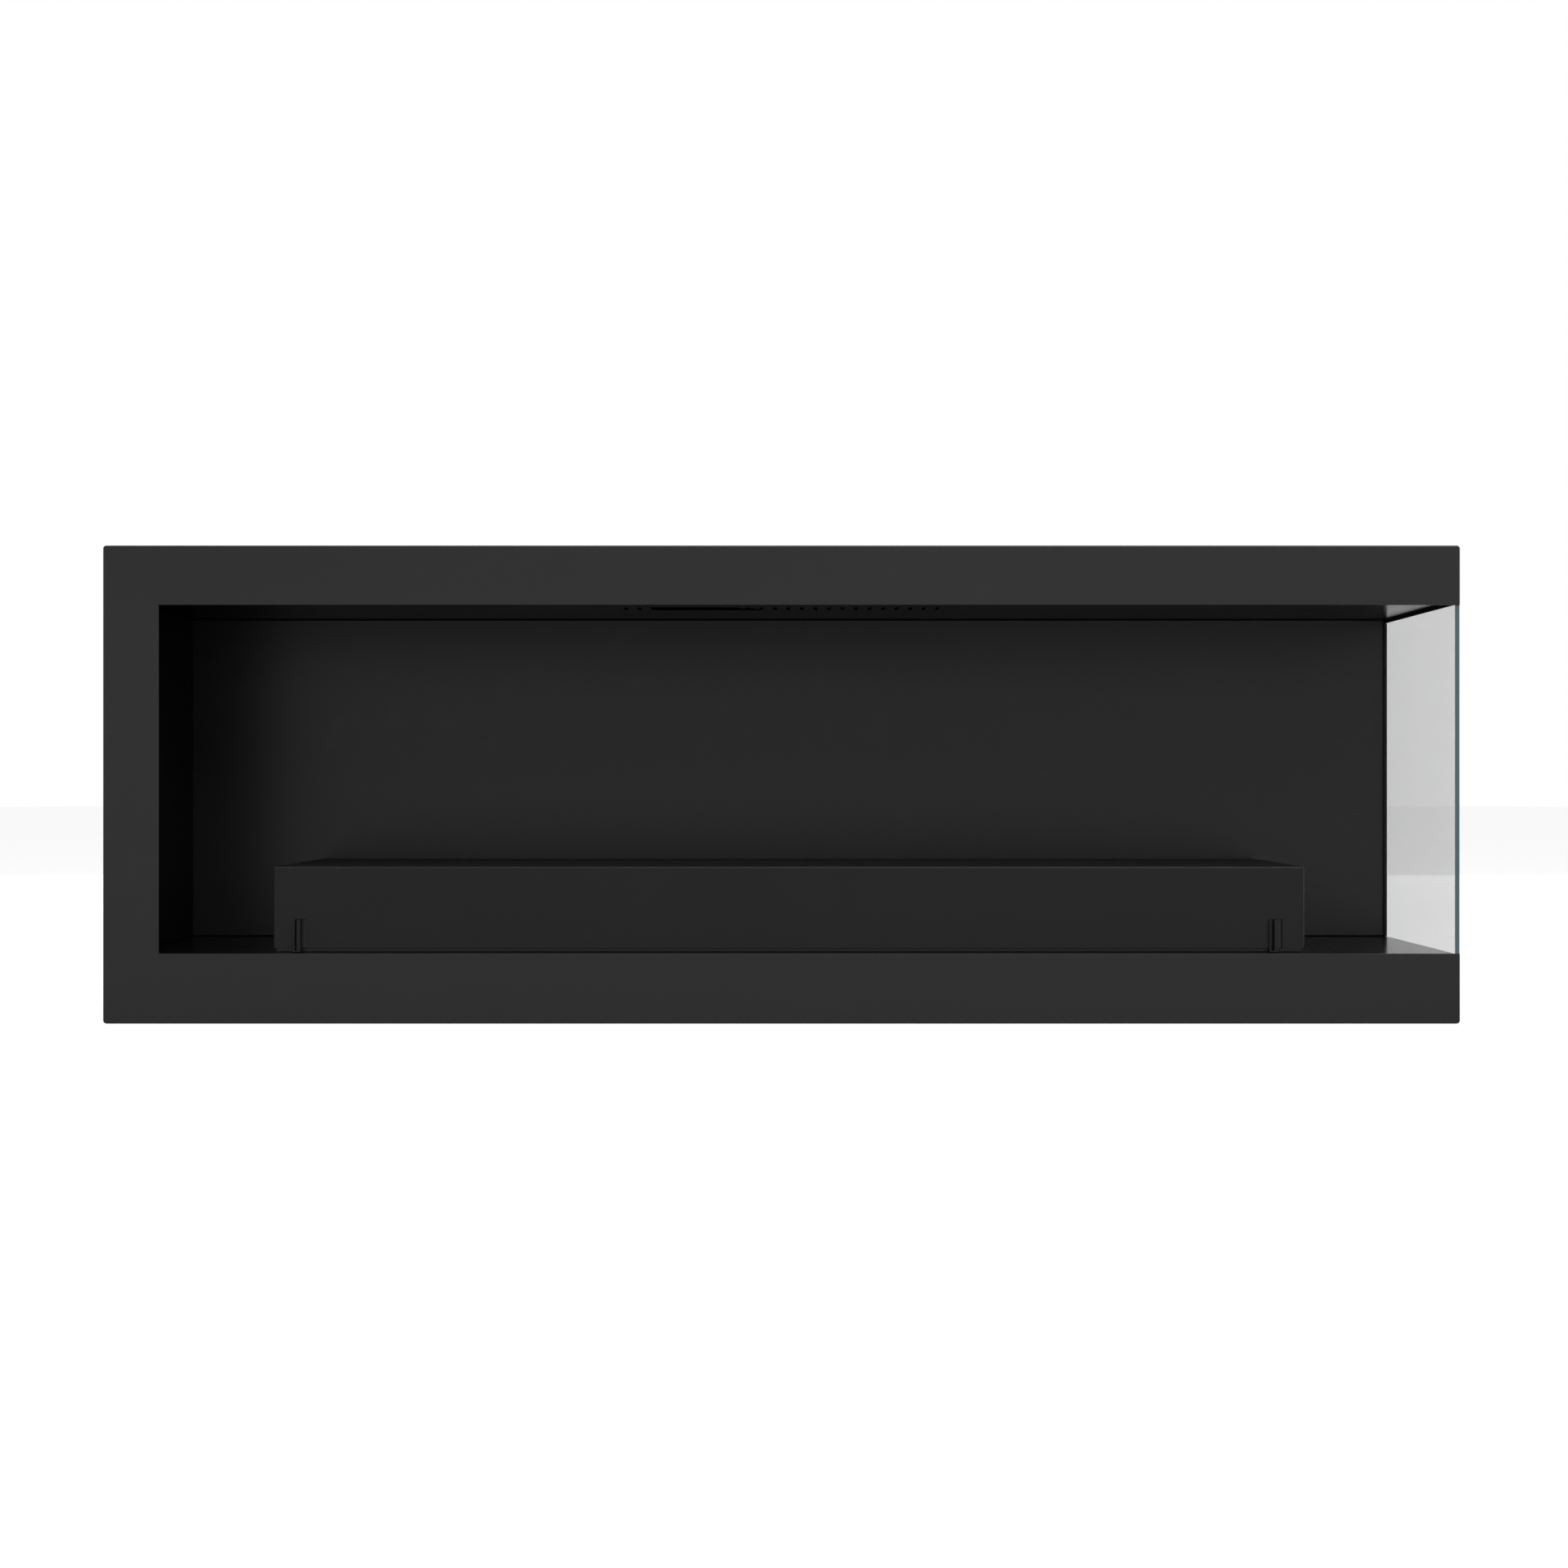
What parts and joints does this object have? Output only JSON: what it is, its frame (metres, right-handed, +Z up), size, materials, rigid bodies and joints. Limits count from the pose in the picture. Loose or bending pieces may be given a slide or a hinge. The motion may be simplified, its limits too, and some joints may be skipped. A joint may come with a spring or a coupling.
{
  "type": "electric fireplace",
  "caption": "Wide built-in electric fireplace in satin black steel, open at the front, with a clear glass pane on its right side and a low mist-flame cassette under a lift-off cover.",
  "frame": {"origin": "centre of the underside of the casing's bounding box", "axes": "+X to the right along the front, +Y from the open front to the wall, +Z up"},
  "size_m": [1.2, 0.28, 0.423],
  "materials": {
    "satin_black": "satin black powder coat",
    "liner_black": "matt black heat-resistant powder coat",
    "clear_glass": "clear float glass, polished edges",
    "black_rubber": "matt",
    "black_moulding": "fine texture",
    "clear_plastic": "translucent smoke",
    "zinc_steel": "zinc plated",
    "brass": "satin",
    "circuit_board": "solder-masked board",
    "pale_ceramic": "matt off-white"
  },
  "bodies": {
    "casing": {"front_frame": "satin_black", "base_pan": "satin_black", "top_pan": "satin_black", "left_side_panel": "satin_black", "right_side_frame": "satin_black", "back_panel": "satin_black", "locating_fin_left": "satin_black", "locating_fin_right": "satin_black", "cassette_tray": "satin_black", "chamber_floor": "liner_black", "chamber_ceiling": "liner_black", "chamber_back_wall": "liner_black", "chamber_left_wall": "liner_black", "outlet_grille": "liner_black", "side_glass": "clear_glass", "glass_seal": "black_rubber", "mains_inlet": "black_moulding", "mist_trough": "black_moulding", "trough_plate": "black_moulding", "slot_collar": "black_moulding", "mist_fan_frame_left": "black_moulding", "mist_fan_frame_right": "black_moulding", "switch_body": "black_moulding", "thermal_cutout": "black_moulding", "water_tank": "clear_plastic", "feed_pipe": "clear_plastic", "float_stem": "clear_plastic", "back_screw_1": "zinc_steel", "back_screw_2": "zinc_steel", "back_screw_3": "zinc_steel", "back_screw_4": "zinc_steel", "tray_screw_1": "zinc_steel", "tray_screw_2": "zinc_steel", "power_supply": "zinc_steel", "switch_stand": "zinc_steel", "heater_duct": "zinc_steel", "heater_motor": "zinc_steel", "transducer_1": "brass", "transducer_2": "brass", "transducer_3": "brass", "transducer_4": "brass", "shaft_bearing": "brass", "control_board": "circuit_board", "light_bar_front": "pale_ceramic", "light_bar_rear": "pale_ceramic", "heating_element": "pale_ceramic"},
    "burner_cover": {"cover_skirt": "satin_black", "cover_deck": "satin_black", "lid_bracket": "zinc_steel", "fill_lid_pin": "zinc_steel"},
    "fill_lid": {"fill_lid": "satin_black"},
    "tank_cap": {"tank_cap": "black_moulding"},
    "mist_fan_left": {"mist_fan_rotor_left": "black_moulding"},
    "mist_fan_right": {"mist_fan_rotor_right": "black_moulding"},
    "float": {"float_ring": "pale_ceramic"},
    "switch_rocker": {"switch_rocker": "black_moulding"},
    "heater_rotor": {"heater_rotor": "black_moulding"}
  },
  "joints": [
    {"name": "cover_lift", "type": "slide", "parent": "casing", "child": "burner_cover", "axis": [0, 0, 1], "range_m": [0, 0.18]},
    {"name": "fill_lid_hinge", "type": "hinge", "parent": "burner_cover", "child": "fill_lid", "pos_m": [0.4085, 0.0853, 0.1355], "axis": [-1, 0, 0], "range_deg": [0, 95]},
    {"name": "tank_cap_turn", "type": "hinge", "parent": "casing", "child": "tank_cap", "pos_m": [0.4085, 0.0713, 0.125], "axis": [0, 0, 1], "range_deg": [0, 90]},
    {"name": "mist_fan_left_spin", "type": "hinge", "parent": "casing", "child": "mist_fan_left", "pos_m": [-0.3595, -0.0075, 0.118], "axis": [0, 0, 1], "continuous": true},
    {"name": "mist_fan_right_spin", "type": "hinge", "parent": "casing", "child": "mist_fan_right", "pos_m": [0.3725, -0.0075, 0.118], "axis": [0, 0, 1], "continuous": true},
    {"name": "float_rise", "type": "slide", "parent": "casing", "child": "float", "axis": [0, 0, 1], "range_m": [0, 0.02]},
    {"name": "switch_rock", "type": "hinge", "parent": "casing", "child": "switch_rocker", "pos_m": [0.4265, -0.0833, 0.1188], "axis": [1, 0, 0], "range_deg": [0, 16]},
    {"name": "heater_rotor_spin", "type": "hinge", "parent": "casing", "child": "heater_rotor", "pos_m": [0, -0.0477, 0.39685], "axis": [1, 0, 0], "continuous": true}
  ]
}
